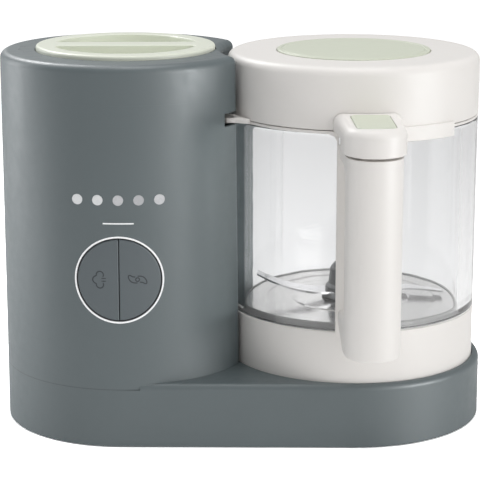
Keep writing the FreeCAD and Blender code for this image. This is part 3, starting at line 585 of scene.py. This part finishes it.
# ------------------------------------------------------------------ stage
fl = bpy.data.meshes.new("floor")
NR = 96
fv = [(3.2 * math.cos(2 * math.pi * a / NR), 3.2 * math.sin(2 * math.pi * a / NR), 0.0) for a in range(NR)]
fl.from_pydata(fv, [], [tuple(range(NR))])
floor = bpy.data.objects.new("floor", fl)
bpy.context.scene.collection.objects.link(floor)
fm = bpy.data.materials.new("pale_floor")
fm.use_nodes = True
ft = fm.node_tree
ft.nodes.clear()
fo = ft.nodes.new("ShaderNodeOutputMaterial")
fd = ft.nodes.new("ShaderNodeBsdfDiffuse")
fd.inputs[0].default_value = (0.93, 0.93, 0.93, 1)
fp = ft.nodes.new("ShaderNodeLightPath")
shown = fd.outputs[0]
for ray, level in (("Is Diffuse Ray", 0.13), ("Is Glossy Ray", 0.13), ("Is Transmission Ray", 0.13)):
    fe = ft.nodes.new("ShaderNodeEmission")
    fe.inputs[0].default_value = (1, 1, 1, 1)
    fe.inputs[1].default_value = level
    fa = ft.nodes.new("ShaderNodeAddShader")
    ft.links.new(fd.outputs[0], fa.inputs[0])
    ft.links.new(fe.outputs[0], fa.inputs[1])
    fx = ft.nodes.new("ShaderNodeMixShader")
    ft.links.new(fp.outputs[ray], fx.inputs[0])
    ft.links.new(shown, fx.inputs[1])
    ft.links.new(fa.outputs[0], fx.inputs[2])
    shown = fx.outputs[0]
fw = ft.nodes.new("ShaderNodeBsdfDiffuse")
fw.inputs[0].default_value = (2.6, 2.6, 2.6, 1)
fx = ft.nodes.new("ShaderNodeMixShader")
ft.links.new(fp.outputs["Is Camera Ray"], fx.inputs[0])
ft.links.new(shown, fx.inputs[1])
ft.links.new(fw.outputs[0], fx.inputs[2])
shown = fx.outputs[0]
fb = ft.nodes.new("ShaderNodeMixShader")
fg = ft.nodes.new("ShaderNodeNewGeometry")
ftr = ft.nodes.new("ShaderNodeBsdfTransparent")
ft.links.new(fg.outputs["Backfacing"], fb.inputs[0])
ft.links.new(shown, fb.inputs[1])
ft.links.new(ftr.outputs[0], fb.inputs[2])
ft.links.new(fb.outputs[0], fo.inputs[0])
fl.materials.append(fm)

# ------------------------------------------------------------------ light
wd = bpy.data.worlds.new("studio")
bpy.context.scene.world = wd
wd.use_nodes = True
wt = wd.node_tree
wt.nodes.clear()
wo = wt.nodes.new("ShaderNodeOutputWorld")
bg1 = wt.nodes.new("ShaderNodeBackground")
bg1.inputs[0].default_value = (1, 1, 1, 1)
bg1.inputs[1].default_value = 1.0
bg2 = wt.nodes.new("ShaderNodeBackground")
bg2.inputs[0].default_value = (1.0, 1.0, 1.0, 1)
bg2.inputs[1].default_value = 0.41
wl = wt.nodes.new("ShaderNodeLightPath")
mx = wt.nodes.new("ShaderNodeMath")
mx.operation = "MAXIMUM"
wt.links.new(wl.outputs["Is Camera Ray"], mx.inputs[0])
wt.links.new(wl.outputs["Is Transmission Ray"], mx.inputs[1])
wm = wt.nodes.new("ShaderNodeMixShader")
wt.links.new(mx.outputs[0], wm.inputs[0])
wt.links.new(bg2.outputs[0], wm.inputs[1])
wt.links.new(bg1.outputs[0], wm.inputs[2])
wt.links.new(wm.outputs[0], wo.inputs[0])


def lamp(name, az, el, dist, size, size_y, watts, colour=(1, 1, 1), aim=(0, 0, 0.13), gloss_only=False):
    d = bpy.data.lights.new(name, "AREA")
    d.shape = "RECTANGLE"
    d.size, d.size_y = size, size_y
    d.energy = watts
    d.color = colour
    ob = bpy.data.objects.new(name, d)
    bpy.context.scene.collection.objects.link(ob)
    if gloss_only:
        ob.visible_diffuse = False
        ob.visible_transmission = False
    a, e = math.radians(az), math.radians(el)
    t = Vector(aim)
    ob.location = t + Vector((math.sin(a) * math.cos(e), -math.cos(a) * math.cos(e), math.sin(e))) * dist
    ob.rotation_euler = (t - ob.location).to_track_quat("-Z", "Y").to_euler()
    return ob


lamp("key", 47, 18, 1.5, 0.8, 1.2, 7.3, (1.0, 0.99, 0.975))
strip = lamp("strip", 61, 3, 1.2, 0.40, 0.36, 11.0, (0.96, 0.99, 1.0), gloss_only=True)
opaque = bpy.data.collections.new("opaque_pieces")
for o in bpy.context.scene.objects:
    if o.type == "MESH" and o.name != "jar_glass":
        opaque.objects.link(o)
strip.light_linking.receiver_collection = opaque
lamp("over", 0, 88, 1.3, 0.7, 0.7, 7.4)
rim = lamp("rim", -112, 6, 1.2, 0.35, 1.0, 7.8, (0.98, 0.99, 1.0), aim=(0, 0, 0.08))
rim.visible_transmission = False
rim.light_linking.receiver_collection = opaque
lamp("low", -84, -1, 0.62, 0.30, 0.05, 0.34, (0.98, 0.99, 1.0), aim=(-0.12, 0.02, 0.03))
side = lamp("side", 100, 0, 1.2, 0.5, 0.2, 5.0, (0.98, 0.99, 1.0), aim=(0, 0, 0.15))
greys = bpy.data.collections.new("grey_column")
for n in ("column_shell", "top_cover"):
    greys.objects.link(NODES[n])
side.light_linking.receiver_collection = greys
side.visible_transmission = False
lamp("kick", -140, 46, 1.2, 0.40, 0.40, 10.0, gloss_only=True)

# ------------------------------------------------------------------ camera
cd = bpy.data.cameras.new("camera")
cam = bpy.data.objects.new("camera", cd)
bpy.context.scene.collection.objects.link(cam)
cd.sensor_width = 36.0
cd.sensor_fit = "HORIZONTAL"
cd.lens = 146.39
pitch = math.radians(13.289 + 0.276)
look = Vector((0.0249 * math.cos(pitch), 0.9997 * math.cos(pitch), -math.sin(pitch)))
cam.location = (-0.03446, -1.25857, 0.42787)
cam.rotation_euler = look.to_track_quat("-Z", "Y").to_euler()
cd.clip_start, cd.clip_end = 0.05, 20.0
bpy.context.scene.camera = cam

sc = bpy.context.scene
sc.view_settings.view_transform = "Standard"
sc.view_settings.look = "None"
sc.cycles.use_denoising = True
sc.cycles.transparent_max_bounces = 16
sc.cycles.max_bounces = 16
sc.cycles.transmission_bounces = 14
sc.cycles.glossy_bounces = 6
